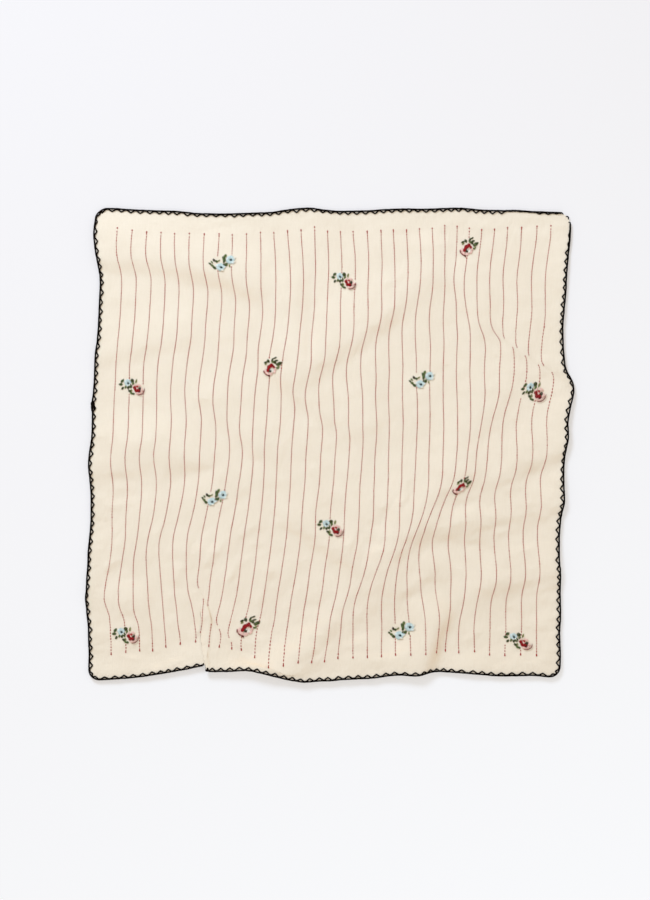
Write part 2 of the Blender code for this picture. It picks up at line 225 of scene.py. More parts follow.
# Short creases, in lying millimetres from the middle: where, which way, half length, half width and
# height, below nought for a trough.
CREASES = (
    (-133, -28, 14, 20, 5, -0.7), (-178, -86, 62, 14, 5, 0.6), (-96, -60, 40, 16, 5, -0.6),
    (-88, -90, 28, 18, 5, 0.6), (-42, -96, -38, 14, 6, -0.8), (-64, -112, 20, 20, 4, 0.5),
    (-120, -112, 52, 22, 5, 0.7), (-142, -104, 60, 18, 5, -0.6), (-162, -140, 66, 22, 5, 0.6),
    (-188, -128, 50, 16, 4, -0.5), (-121, -150, -50, 18, 7, -0.8), (-92, -166, 74, 20, 5, -0.7),
    (-104, -136, 60, 16, 4, 0.6), (-70, -150, 70, 24, 5, 0.7), (-52, -168, 66, 20, 5, -0.7),
    (-170, -222, 12, 22, 5, -0.6), (-205, -224, -12, 20, 4, 0.5), (-140, -196, 60, 14, 4, 0.5),
    (89, -45, 60, 14, 6, -0.9), (76, -58, 50, 14, 4, 0.7), (60, -72, 62, 16, 5, -0.7),
    (38, -114, 64, 13, 6, -0.9), (8, -134, 58, 13, 6, -0.8), (24, -98, 66, 18, 4, 0.6),
    (10, -192, 44, 16, 8, -0.9), (30, -206, 20, 15, 5, 0.7), (-8, -214, 36, 15, 5, -0.7),
    (60, -215, 8, 26, 5, -0.6), (96, -214, -10, 18, 4, 0.5), (170, -178, 12, 18, 4, -0.6),
    (190, -190, 18, 16, 4, 0.5), (216, -176, 8, 14, 5, -0.6), (150, -200, 34, 14, 4, 0.5),
    (176, -92, 14, 26, 4, 0.7), (150, -106, 6, 20, 4, -0.6), (206, -110, 12, 20, 4, 0.5),
    (146, -62, 24, 16, 5, -0.8), (196, -44, 20, 18, 4, 0.6), (210, -66, 8, 20, 4, -0.5),
    (128, -84, 16, 14, 4, 0.6), (226, -150, 14, 14, 4, 0.6), (120, -148, 44, 14, 4, -0.6),
    (-226, -100, 46, 14, 5, -0.6), (-232, -126, 38, 12, 4, 0.6), (-214, -60, 8, 22, 4, 0.5),
    (-30, 20, 80, 18, 5, -0.5), (-50, -6, 70, 20, 5, 0.5), (6, 26, 84, 18, 4, -0.4),
    (-84, 56, -58, 16, 4, 0.5), (-20, 108, 82, 24, 5, -0.6), (22, 96, 62, 14, 4, 0.4),
    (132, 92, -20, 20, 5, -0.5), (176, 96, -34, 18, 4, 0.5), (196, 66, -40, 14, 5, -0.5),
    (70, 176, 30, 20, 5, 0.4), (-120, 226, 10, 22, 5, -0.4), (170, 222, 24, 18, 5, -0.4),
    (-30, -214, 33, 60, 13, 1.7), (99, -210, 71, 50, 16, -2.1), (-240, 205, -8, 30, 14, -1.0),
    (187, 101, -29, 36, 4, 0.4),
)
# How far the crinkles push the cloth about in its own plane, and their size there.
WANDER = 0.7
WANDER_CELL = 21.0
# The rim stands a little off the ground: how far all round, how far more at flat places along the bottom
# and the right, and how far in from the edge it begins.
RIM_LIFT = 0.3
RIM_LIFTS = {
    "bottom": {
        -270: 1.4, -190: 1.7, -150: 1.6, -108: 2.6, -60: 3.0, -12: 2.7, 30: 2.2, 84: 2.0, 108: 1.2,
        130: 1.4, 160: 1.7, 270: 1.5,
    },
    "right": {
        -270: 1.5, -60: 1.6, -20: 1.5, 12: 1.0, 60: 0.8, 120: 0.7, 240: 0.6, 270: 0.3,
    },
}
RIM_WIDTH = 30.0
RIM_CELL = 62.0
# The seeds of the dimples, of the push to the right and up, and of the rim's unevenness.
CRINKLE_SEED = 11
WANDER_SEEDS = (21, 22)
RIM_SEED = 31

# Sprigs: where each kind lies, read off the photo from above.
SPRIG_PLACES = {
    "pair": ((-112, 192), (97, 70), (-120.5, -53.5), (75, -193)),
    "posy": ((14, 171), (-208, 60), (213, 54.5), (0, -88), (-214, -201), (197, -206)),
    "rose": ((145, 207), (-62, 81), (138, -43), (-86, -191)),
}
# The forms in a sprig, each a little higher than the one before. A row that names no form is a leaf or a
# petal, a patch of satin stitches along its length. A flower is a ring of petals, as many as more says. A
# curl is a bent line of satin stitches: length is its radius, turn its start and more its sweep. Lengths
# are lying millimetres and angles are degrees from the right.
SPRIG_COLUMNS = ("thread", "x", "y", "length", "width", "turn", "form", "more")
FORM_RISE = 0.022
SATIN_PITCH = 0.42
SATIN_RADIUS = 0.27
CURL_RADIUS = 0.26
SPRIGS = {
    "pair": (
        ("brown", -8.9, 1, 4.4, 2.3, 116), ("leaf", -11.1, -1, 4, 1.4, 128),
        ("green", -12.9, -2.6, 3.8, 1.6, 140), ("leaf", -10.7, -4.6, 4, 2.3, 160),
        ("green", -8.5, -7, 4.8, 2.6, 146), ("green", -6.6, -0.2, 3.8, 2.1, 120),
        ("olive", -4.2, 0.6, 4.4, 1.4, 30), ("green", 0.8, 3.6, 5.2, 3, 128),
        ("leaf", 2.2, 5.8, 4.6, 2.6, 70), ("green", 1.2, 0.4, 5.2, 2.4, 70), ("leaf", 0.4, 2, 4, 1.6, 110),
        ("green", 3.2, -3.4, 5, 2.8, 62), ("olive", 6.6, -4.8, 3.8, 1.4, 95),
        ("sky", 7.4, 1.6, 4.6, 4.8, 12, "flower", 6), ("ice", 4.8, 2.8, 5, 1.8, 75),
        ("cream", 11.2, 3.2, 4.6, 1.8, 20), ("ice", 9.6, -1.2, 5, 2.2, 325),
        ("cream", 11.4, -0.6, 4, 1.4, 345), ("sky", -2.5, -6.3, 4.4, 4.2, 15, "flower", 6),
        ("ice", -5.7, -4.9, 4.6, 2.2, 150), ("fern", 0.9, -3.2, 3.4, 1, 60),
        ("ice", 1.5, -6.1, 4.4, 1.8, 25), ("cream", -0.7, -9.4, 4.6, 1.6, 170),
        ("ink", 8.1, 1.4, 3.6, 2.1, 40), ("ink", -1.5, -6.6, 4.2, 2.1, 160),
    ),
    "posy": (
        ("green", -9.8, 7.6, 5, 2.6, 45), ("green", -11.2, 4.2, 4.8, 2.6, 175),
        ("fern", -9.3, 0.2, 4, 2, 58), ("leaf", -6.4, 1.2, 3.8, 1.8, 75), ("fern", -4, 0.6, 4.4, 2, 100),
        ("green", -1.8, 1.6, 4.8, 2.6, 118), ("fern", 0.2, 7.6, 5, 3.6, 112),
        ("leaf", 1.2, 4.4, 4.6, 2.1, 85), ("olive", 4.2, 6.9, 5.2, 1.5, 74),
        ("fern", -2.3, -3, 4.2, 2.2, 150), ("olive", -0.6, -2.4, 3.6, 1.4, 110),
        ("leaf", -0.8, -5.2, 3.6, 2, 120), ("green", 1.2, -6, 3.4, 2, 150),
        ("sky", -4.3, 5.6, 3.7, 3.4, 90, "flower", 5), ("ice", -6.4, 6.6, 5, 2, 105),
        ("cream", -2.6, 3.2, 4.4, 1.4, 130), ("fern", -1.2, 3, 4.2, 1.2, 128),
        ("ice", -4.6, 2.8, 3.8, 1.2, 100), ("ink", -3.7, 4.6, 3.2, 2.8, 40),
        ("blush", 1.9, 2.6, 5, 1.8, 50), ("blush", 7.2, 2.8, 5.6, 2.2, 155),
        ("blush", 10, -2, 5.2, 2.4, 100), ("blush", 8.4, -5.2, 4.8, 2.4, 50),
        ("blush", 5.4, -5.8, 4.8, 2.2, 155), ("crimson", 2.6, 0.2, 5.8, 3, 118),
        ("crimson", 4.3, -2.9, 5.6, 3.4, 140), ("scarlet", 5.2, 1.4, 3.4, 1.6, 150),
        ("crimson", 6.6, -2.8, 5.4, 2.6, 110), ("wine", 7.6, -4.2, 3.6, 2, 40),
        # A painted highlight: the thin blush stroke across the crimson, laid after the brown.
        ("brown", 7.8, -1, 4.2, 2.8, 62), ("blush", 4.9, -0.4, 4.2, 1, 118),
        ("madder", 7.2, -2.2, 5.4, 0.9, 8, "curl", -108),
    ),
    "rose": (
        ("fern", -7.2, 5.6, 4.6, 2, 205), ("olive", -6.8, 3.8, 3.8, 1.8, 215),
        ("fern", -4, 6.9, 5, 2.8, 130), ("fern", 0.6, 8, 5.2, 1.9, 76), ("fern", 3.2, 10.2, 4.6, 1.4, 30),
        ("fern", 4.6, 7.2, 5, 1.6, 16), ("leaf", 1.2, 6, 4.2, 2.2, 150), ("fern", 3.6, 5.2, 5.2, 2.2, 325),
        ("fern", 8.2, 4.2, 7.4, 3.4, 30), ("leaf", 7.4, 3.9, 5, 1.3, 32),
        ("leaf", 6.8, -0.4, 4.8, 1.6, 350), ("olive", 7.8, 1.2, 3.8, 1.2, 330),
        ("blush", -7.4, -3.6, 5.8, 3.4, 95), ("blush", -5.2, -6.6, 6.2, 3.6, 145),
        ("blush", -0.6, -6.8, 6, 3.2, 15), ("cream", 1.6, -4, 4.8, 2.6, 70), ("blush", 4, -4.6, 5, 2.4, 60),
        ("blush", 4.4, -1.2, 4.8, 2.6, 110), ("crimson", -4.4, -3, 6.2, 3.6, 72),
        ("crimson", -2.8, 0.4, 6.6, 4.4, 48), ("crimson", 0.2, 2.4, 5.2, 3.8, 150),
        ("crimson", 3, 0.4, 6, 2.2, 124), ("scarlet", -1.2, -2.2, 3, 1, 190, "curl", -140),
        # A painted highlight: the thin ice stroke over the brown centre.
        ("brown", -1.6, -3.6, 4.2, 3.6, 36), ("ice", -0.9, -2.7, 2.6, 0.7, 40),
        ("madder", -9.6, -4.6, 4.6, 1.2, 100), ("madder", -6.8, -7.6, 5, 1.2, 146),
        ("wine", -3.4, -9.2, 4.2, 1.5, 156),
    ),
}
# The half width and height of the flat place that the stripes leave free for each kind of sprig.
SPRIG_GAPS = {"pair": (14.0, 6.2), "posy": (13.5, 7.2), "rose": (10.5, 9.4)}
THREADS = {
    "stripe": (0.39, 0.012, 0.009),
    "green": (0.086, 0.120, 0.038),
    "fern": (0.062, 0.074, 0.021),
    "olive": (0.250, 0.260, 0.085),
    "leaf": (0.140, 0.190, 0.055),
    "madder": (0.27, 0.060, 0.055),
    "crimson": (0.31, 0.004, 0.006),
    "scarlet": (0.50, 0.014, 0.016),
    "wine": (0.12, 0.006, 0.006),
    "blush": (1.0, 0.63, 0.54),
    "cream": (1.0, 0.89, 0.75),
    "sky": (0.62, 0.755, 0.735),
    "ice": (0.80, 0.88, 0.83),
    "ink": (0.030, 0.052, 0.050),
    "brown": (0.060, 0.048, 0.022),
    "edging": (0.006, 0.0038, 0.0028),
}
# Roughness and shine: embroidery silk, and where the thread is duller.
EMBROIDERY_FINISH = (0.6, 0.25)
FINISHES = {"stripe": (0.85, 0.10), "edging": (0.95, 0.02)}


def step(t):
    """A smooth rise from 0 to 1."""
    t = np.clip(t, 0.0, 1.0)
    return t * t * (3.0 - 2.0 * t)


def through(knots, values, at):
    """A smooth curve through values at knots. values has a row a knot and a column a point."""
    slopes = np.gradient(values, knots, axis=0)
    k = np.clip(np.searchsorted(knots, at) - 1, 0, len(knots) - 2)
    span = knots[k + 1] - knots[k]
    t = (at - knots[k]) / span
    past = np.clip(t - 1.0, 0.0, None) + np.clip(t, None, 0.0)
    t = np.clip(t, 0.0, 1.0)
    i = np.arange(len(at))
    low_slope, high_slope = slopes[k, i] * span, slopes[k + 1, i] * span
    smooth = (
        (1 + 2 * t) * (1 - t) ** 2 * values[k, i] + t * (1 - t) ** 2 * low_slope
        + t * t * (3 - 2 * t) * values[k + 1, i] + t * t * (t - 1) * high_slope
    )
    return smooth + past * np.where(past > 0, high_slope, low_slope)


def rounded(u, v):
    """Flat points of the square, with its corners drawn in to quarter circles."""
    inner = HALF - CORNER
    a = np.clip(np.abs(u) - inner, 0, None) / CORNER
    b = np.clip(np.abs(v) - inner, 0, None) / CORNER
    shrink = np.where((a > 0) & (b > 0), np.maximum(a, b) / np.maximum(np.hypot(a, b), 1e-9), 1.0)
    return (
        np.sign(u) * (np.minimum(np.abs(u), inner) + a * shrink * CORNER),
        np.sign(v) * (np.minimum(np.abs(v), inner) + b * shrink * CORNER),
    )


def at_all(values, points):
    """The same values at every point, as the smooth curve takes them."""
    return np.repeat(np.array(values, float)[:, None], len(points), 1)


def laid(u, v):
    """Where flat points lie before the folds draw them up."""
    rows = np.array(SECTIONS, float)[::-1]
    at = v * LYING_HALF / HALF
    columns = np.array([through(rows[:, 0], at_all(rows[:, c], u), at) for c in range(1, rows.shape[1])])
    stripe_u = (np.array(STRIPE_COLUMNS) - (STRIPES + 1) / 2) * PITCH
    top = through(stripe_u, at_all(TOP_EDGE, u), u)
    bottom = through(stripe_u, at_all(BOTTOM_EDGE, u), u)
    return through(stripe_u, columns, u), bottom + (top - bottom) * (v + HALF) / SIDE


def folded(x, y, least_half):
    """How far the folds move each lying point, and how high they lift it."""
    dx, dy, z = np.zeros_like(x), np.zeros_like(x), np.zeros_like(x)
    for row in FOLDS.values():
        fold = dict(zip(FOLD_COLUMNS, row))
        run_x, run_y = fold["x1"] - fold["x0"], fold["y1"] - fold["y0"]
        length = np.hypot(run_x, run_y)
        tx, ty = run_x / length, run_y / length
        along = ((x - fold["x0"]) * tx + (y - fold["y0"]) * ty) / length
        inside = np.clip(along, 0, 1)
        bend = 4 * fold["bow"] * inside * (1 - inside)
        lean = 4 * fold["bow"] * (1 - 2 * inside) / length
        across = ((y - fold["y0"]) * tx - (x - fold["x0"]) * ty - bend) / np.hypot(1, lean)
        rx, ry = (tx - lean * ty) / np.hypot(1, lean), (ty + lean * tx) / np.hypot(1, lean)
        strength = np.ones_like(x)
        if max(abs(fold["x0"]), abs(fold["y0"])) < OFF_CLOTH:
            strength *= step(along / FADE)
        if max(abs(fold["x1"]), abs(fold["y1"])) < OFF_CLOTH:
            strength *= step((1 - along) / FADE)
        half = max(fold["half"], least_half * fold["draw"])
        face = step((across + half) / (2 * half))
        z += fold["height"] * strength * face * step(1 - (across - half) / fold["tail"])
        side = (2 * face - 1) * strength * (1 - step((np.abs(across) - half) / REACH))
        dx += (ry * fold["draw"] - rx * fold["slide"]) / 2 * side
        dy += (-rx * fold["draw"] - ry * fold["slide"]) / 2 * side
    return dx, dy, z


def rim_shift(u, v):
    """How far the rim lies outside the folded square, to the right and up."""
    def side(name, place, from_edge):
        places, shifts = np.array(list(RIMS[name].items())).T
        return through(places, at_all(shifts, place), place) * step(1 - from_edge / RIM_REACH)

    return (
        side("right", v, HALF - u) - side("left", v, HALF + u),
        side("top", u, HALF - v) - side("bottom", u, HALF + v),
    )


def lying(u, v, least_half=0.0):
    """The lying cloth at flat points, before its place in the frame."""
    flat_u, flat_v = rounded(u, v)
    x, y = laid(flat_u, flat_v)
    dx, dy, z = folded(x, y, least_half)
    rim_x, rim_y = rim_shift(flat_u, flat_v)
    return np.stack([x + dx + rim_x, y + dy + rim_y, z], -1)


def lying_slopes(u, v):
    """How far the lying place moves to the right and up for a millimetre of u, and of v."""
    by_u = (lying(u + 0.5, v) - lying(u - 0.5, v))[:, :2]
    by_v = (lying(u, v + 0.5) - lying(u, v - 0.5))[:, :2]
    return by_u, by_v


def closing(u, v):
    """What share of its flat area the cloth covers where it lies, below nought under a lap."""
    by_u, by_v = lying_slopes(u, v)
    return by_u[:, 0] * by_v[:, 1] - by_u[:, 1] * by_v[:, 0]


def frame_shift():
    """What moves the lying cloth to the frame, whose origin is under the middle of the solids' outline."""
    line = np.linspace(-HALF, HALF, 2 * TEETH + 1)
    edge = np.full_like(line, HALF + SOLID_RAIL_OUT)
    u = np.concatenate([line, line, edge, -edge])
    v = np.concatenate([edge, -edge, line, line])
    outline = lying(u, v, SOLID_LEAST_HALF)
    middle = (outline.min(0) + outline.max(0)) / 2
    return np.array([-middle[0], -middle[1], 0.0])


SHIFT = frame_shift()


def noise(u, v, cell_u, cell_v, seed):
    """Smooth dimples from -1 to 1 with the given cells, from seeded values at the cells' corners."""
    nu, nv = int(2 * SIDE / cell_u) + 4, int(2 * SIDE / cell_v) + 4
    values = np.random.default_rng(seed).uniform(-1, 1, (nu, nv))
    a, b = (u + SIDE) / cell_u, (v + SIDE) / cell_v
    i, j = np.floor(a).astype(int), np.floor(b).astype(int)
    i, j = np.clip(i, 0, nu - 2), np.clip(j, 0, nv - 2)
    a, b = step(a - i), step(b - j)
    low = values[i, j] * (1 - a) + values[i + 1, j] * a
    high = values[i, j + 1] * (1 - a) + values[i + 1, j + 1] * a
    return low * (1 - b) + high * b


def unevenness(x, y):
    """The height of the cloth's own crinkles and short creases where it lies, never below the ground."""
    z = np.zeros_like(x)
    for seed, (cell_x, cell_y, height) in enumerate(CRINKLES, CRINKLE_SEED):
        z += height * noise(x, y, cell_x, cell_y, seed)
    lower = step((LYING_HALF - y + 0.5 * (x + LYING_HALF)) / (2.4 * LYING_HALF))
    z = z * (CRINKLE_SHARE_HIGH + (CRINKLE_SHARE_LOW - CRINKLE_SHARE_HIGH) * lower)
    for middle_x, middle_y, turn, half_length, half_width, height in CREASES:
        a = np.radians(turn)
        right, up = x - middle_x, y - middle_y
        along, across = right * np.cos(a) + up * np.sin(a), up * np.cos(a) - right * np.sin(a)
        z += height * np.exp(-(along / half_length) ** 2 - (across / half_width) ** 2)
    z += sum(row[2] for row in CRINKLES)
    below = SOFT_HEIGHT * np.exp(np.minimum(z - SOFT_HEIGHT, 0.0) / SOFT_HEIGHT)
    return np.where(z < SOFT_HEIGHT, below, z)


def rim_lift(u, v):
    """How far the rim stands off the ground, more at the right and the bottom, and unevenly."""
    right, left, top, bottom = [step(1 - (HALF - side) / RIM_WIDTH) for side in (u, -u, v, -v)]

    def more(name, place):
        places, lifts = np.array(list(RIM_LIFTS[name].items())).T
        return np.interp(place, places, lifts)

    uneven = 1.0 + 0.25 * noise(u, v, RIM_CELL, RIM_CELL, RIM_SEED)
    most = np.maximum(right * more("right", v), bottom * more("bottom", u)) * uneven
    return RIM_LIFT * np.maximum.reduce([right, left, top, bottom]) + most


def middle_surface(u, v, least_half=0.0):
    """The middle of the cloth's thickness in the frame."""
    points = lying(u, v, least_half)
    x, y = points[:, 0].copy(), points[:, 1].copy()
    for axis, seed in enumerate(WANDER_SEEDS):
        points[:, axis] += WANDER * noise(x, y, WANDER_CELL, WANDER_CELL * 1.4, seed)
    points[:, 2] += unevenness(x, y) + rim_lift(u, v) + THICKNESS / 2
    return points + SHIFT


def surface(u, v, least_half=0.0):
    """The middle surface with its normal."""
    tiny = 0.25
    points = middle_surface(u, v, least_half)
    along_u = middle_surface(u + tiny, v, least_half) - middle_surface(u - tiny, v, least_half)
    along_v = middle_surface(u, v + tiny, least_half) - middle_surface(u, v - tiny, least_half)
    normal = np.cross(along_u, along_v)
    return points, normal / np.maximum(np.linalg.norm(normal, axis=1, keepdims=True), 1e-9)


def flat_place(x, y):
    """The flat point that lies at a place, found from a first guess by small corrections."""
    u, v = np.array([x * HALF / LYING_HALF]), np.array([y * HALF / LYING_HALF])
    corrections, share = 12, 0.7
    for _ in range(corrections):
        by_u, by_v = lying_slopes(u, v)
        away = np.array([x, y]) - lying(u, v)[0, :2]
        move = np.linalg.solve(np.array([by_u[0], by_v[0]]).T, away)
        u, v = u + share * move[0], v + share * move[1]
    return float(u[0]), float(v[0])


class Look:
    """A new material with its shader, and short ways to add nodes to it."""

    def __init__(self, name):
        self.material = bpy.data.materials.new(name)
        self.material.use_nodes = True
        self.tree = self.material.node_tree
        self.shader = self.tree.nodes["Principled BSDF"]

    def add(self, kind, **values):
        """A node with values for its sockets and its settings."""
        node = self.tree.nodes.new(kind)
        for key, value in values.items():
            if key in node.inputs:
                node.inputs[key].default_value = value
            else:
                setattr(node, key, value)
        return node

    def link(self, output, socket):
        self.tree.links.new(output, socket)

    def coordinates(self, kind):
        return self.add("ShaderNodeTexCoord").outputs[kind]

    def texture(self, kind, vector, **values):
        """The value of a procedural texture."""
        node = self.add(kind, **values)
        self.link(vector, node.inputs["Vector"])
        return node.outputs["Fac"]

    def ranged(self, value, low=0.0, high=1.0, value_low=0.0, value_high=1.0):
        """A value carried over from its own range to another."""
        ends = {"From Min": value_low, "From Max": value_high, "To Min": low, "To Max": high}
        node = self.add("ShaderNodeMapRange", **ends)
        self.link(value, node.inputs["Value"])
        return node.outputs["Result"]

    def between(self, share, low, high):
        """A colour from low to high by a share."""
        node = self.add("ShaderNodeMix", data_type="RGBA")
        node.inputs[6].default_value = (*low, 1)
        node.inputs[7].default_value = (*high, 1)
        self.link(share, node.inputs[0])
        return node.outputs[2]

    def bump(self, height, strength, distance, over=None):
        """A normal with a relief, over a finer one where that is given."""
        node = self.add("ShaderNodeBump", Strength=strength, Distance=distance)
        self.link(height, node.inputs["Height"])
        if over is not None:
            self.link(over, node.inputs["Normal"])
        return node.outputs["Normal"]

    def finish(self, roughness, specular, sheen=0.0, sheen_roughness=0.5):
        """The material, with the constants of its gloss and sheen set."""
        self.shader.inputs["Roughness"].default_value = roughness
        self.shader.inputs["Specular IOR Level"].default_value = specular
        self.shader.inputs["Sheen Weight"].default_value = sheen
        self.shader.inputs["Sheen Roughness"].default_value = sheen_roughness
        return self.material


def thread_material(name, colour, gloss, shine):
    """Embroidery or sewing thread: fine twist across the strand, soft gloss, a little change of shade."""
    look = Look(name)
    place = look.coordinates("Object")
    shade = look.texture("ShaderNodeTexNoise", place, Scale=420.0, Detail=2.0)
    dark, pale = [c * 0.78 for c in colour], [min(1.0, c * 1.16) for c in colour]
    look.link(look.between(shade, dark, pale), look.shader.inputs["Base Color"])
    twist = look.texture("ShaderNodeTexWave", place, Scale=900.0, Distortion=1.5, bands_direction="DIAGONAL")
    look.link(look.bump(twist, 0.35, 0.0001), look.shader.inputs["Normal"])
    return look.finish(gloss, shine, shine / 6, 0.4)


def gauze_material():
    """Cream cotton gauze: an open plain weave with slubs, matte and soft, a little uneven in tone, with
    painted shade on the steep flanks of its folds.
    """
    look = Look("gauze")
    flat = look.add("ShaderNodeUVMap", uv_map="flat").outputs["UV"]

    def weave(direction):
        settings = {"Scale": 62.0, "Distortion": 1.2, "Detail": 2.0, "bands_direction": direction}
        return look.texture("ShaderNodeTexWave", flat, **settings)

    def stretched(across, along, detail, roughness):
        node = look.add("ShaderNodeMapping", Scale=(across, along, 1))
        look.link(flat, node.inputs["Vector"])
        settings = {"Scale": 1.0, "Detail": detail, "Roughness": roughness}
        return look.texture("ShaderNodeTexNoise", node.outputs["Vector"], **settings)

    def together(a, b):
        node = look.add("ShaderNodeMath", operation="ADD")
        look.link(a, node.inputs[0])
        look.link(b, node.inputs[1])
        return node.outputs[0]

    # Coordinates are the flat cloth in tenths of a metre, so a scale is threads or dimples a decimetre.
    warp, weft = weave("X"), weave("Y")
    slub, cross_slub = stretched(95.0, 7.0, 4.0, 0.6), stretched(6.0, 80.0, 3.0, 0.6)
    crepe = stretched(26.0, 16.0, 3.0, 0.55)
    patch = look.texture("ShaderNodeTexNoise", flat, Scale=2.2, Detail=2.0)
    share = together(
        together(look.ranged(slub, 0.05, 0.45), look.ranged(cross_slub, 0.0, 0.2)),
        together(look.ranged(patch, 0.0, 0.35), look.ranged(warp, 0.0, 0.15)),
    )
    tone = look.between(share, (0.815, 0.696, 0.527), (0.985, 0.890, 0.728))

    # Painted shade: wherever the cloth is steep, on the flanks of the folds, its colour is made darker and
    # warmer, like the shade that falls in a fold.
    facing = look.add("ShaderNodeSeparateXYZ")
    look.link(look.coordinates("Normal"), facing.inputs[0])
    painted_fold_shade = look.add("ShaderNodeMix", data_type="RGBA", blend_type="MULTIPLY")
    painted_fold_shade.inputs[7].default_value = (1.0, 0.955, 0.905, 1)
    look.link(look.ranged(facing.outputs["Z"], value_low=0.998, value_high=0.935), painted_fold_shade.inputs[0])
    look.link(tone, painted_fold_shade.inputs[6])
    look.link(painted_fold_shade.outputs[2], look.shader.inputs["Base Color"])

    threads = look.bump(together(warp, weft), 0.30, 0.0002)
    slubs = look.bump(together(slub, cross_slub), 0.35, 0.0004, over=threads)
    look.link(look.bump(crepe, 0.35, 0.0012, over=slubs), look.shader.inputs["Normal"])
    return look.finish(0.92, 0.2, 0.12, 0.5)


def floor_material():
    """A pale matte floor, whose own glow evens out the lamp's falloff over it."""
    look = Look("floor")
    toward = look.add("ShaderNodeVectorMath", operation="DOT_PRODUCT")
    toward.inputs[1].default_value = (0.35, -0.936, 0)
    look.link(look.coordinates("Object"), toward.inputs[0])
    share = look.ranged(toward.outputs["Value"], value_low=-1.0)
    glow = look.between(share, (0.185, 0.136, 0.104), (0.510, 0.539, 0.565))
    look.link(glow, look.shader.inputs["Emission Color"])
    look.shader.inputs["Emission Strength"].default_value = 1.0
    look.shader.inputs["Base Color"].default_value = (0.58, 0.58, 0.58, 1)
    return look.finish(1.0, 0.0)


def add_object(name, points, faces, materials, face_material=None):
    """A smooth mesh object in metres that rides with the frame."""
    mesh = bpy.data.meshes.new(name)
    faces = np.asarray(faces, dtype=np.int32)
    points = np.asarray(points, dtype=np.float32) * MM
    mesh.vertices.add(len(points))
    mesh.vertices.foreach_set("co", points.ravel())
    corners = faces.shape[1]
    mesh.loops.add(faces.size)
    mesh.loops.foreach_set("vertex_index", faces.ravel())
    mesh.polygons.add(len(faces))
    mesh.polygons.foreach_set("loop_start", np.arange(0, faces.size, corners, dtype=np.int32))
    for material in materials:
        mesh.materials.append(material)
    if face_material is not None:
        mesh.polygons.foreach_set("material_index", np.asarray(face_material, dtype=np.int32))
    mesh.update(calc_edges=True)
    mesh.validate()
    mesh.shade_smooth()
    thing = bpy.data.objects.new(name, mesh)
    bpy.context.collection.objects.link(thing)
    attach(thing, "root")
    return thing


def tubes(routes, ups, radii, sides=6, flat=1.0):
    """Tubes along many routes at once, open at their ends.

    routes is an array of tube by point by 3, ups a like array of directions that are not along the run,
    radii the radius at each point, and flat how high a section is beside its width.
    """
    routes = np.asarray(routes, float)
    count, length = routes.shape[:2]
    run = np.gradient(routes, axis=1)
    run /= np.maximum(np.linalg.norm(run, axis=2, keepdims=True), 1e-9)
    side = np.cross(run, ups)
    side /= np.maximum(np.linalg.norm(side, axis=2, keepdims=True), 1e-9)
    up = np.cross(side, run)
    angle = np.arange(sides) / sides * 2 * np.pi
    radii = np.broadcast_to(np.asarray(radii, float), (count, length))[:, :, None, None]
    around = (
        side[:, :, None, :] * np.cos(angle)[None, None, :, None]
        + up[:, :, None, :] * np.sin(angle)[None, None, :, None] * flat
    )
    points = (routes[:, :, None, :] + around * radii).reshape(-1, 3)
    base = (np.arange(count) * length)[:, None, None] * sides
    ring = np.arange(length - 1)[None, :, None] * sides
    here = np.arange(sides)[None, None, :]
    there = (here + 1) % sides
    a, b = base + ring + here, base + ring + there
    faces = np.stack([a, b, b + sides, a + sides], -1).reshape(-1, 4)
    return points, faces


def closed_tubes(routes, ups, radius, sides=6, flat=1.0, ends=0.05):
    """Tubes whose first and last sections are small, so that they end in the cloth or in each other."""
    length = np.asarray(routes).shape[1]
    profile = np.ones(length)
    profile[0] = profile[-1] = ends
    return tubes(routes, ups, radius * profile, sides, flat)


def joined(parts):
    """Points and faces of several meshes as one, with a number for each face's mesh."""
    points, faces, which, start = [], [], [], 0
    for number, (p, f) in enumerate(parts):
        points.append(p)
        faces.append(f + start)
        which.append(np.full(len(f), number))
        start += len(p)
    return np.concatenate(points), np.concatenate(faces), np.concatenate(which)


def grid_lines(fine_at, fine_width, extra):
    """Places of the mesh's lines across the flat cloth, closer together around some places."""
    line = np.linspace(-HALF, HALF, 2001)
    density = np.ones_like(line)
    for at in fine_at:
        density += extra * np.exp(-((line - at) / fine_width) ** 2)
    total = np.concatenate([[0], np.cumsum((density[1:] + density[:-1]) / 2)])
    places = np.interp(np.linspace(0, total[-1], CLOTH_CELLS + 1), total, line)
    places[0], places[-1] = -HALF, HALF
    return places


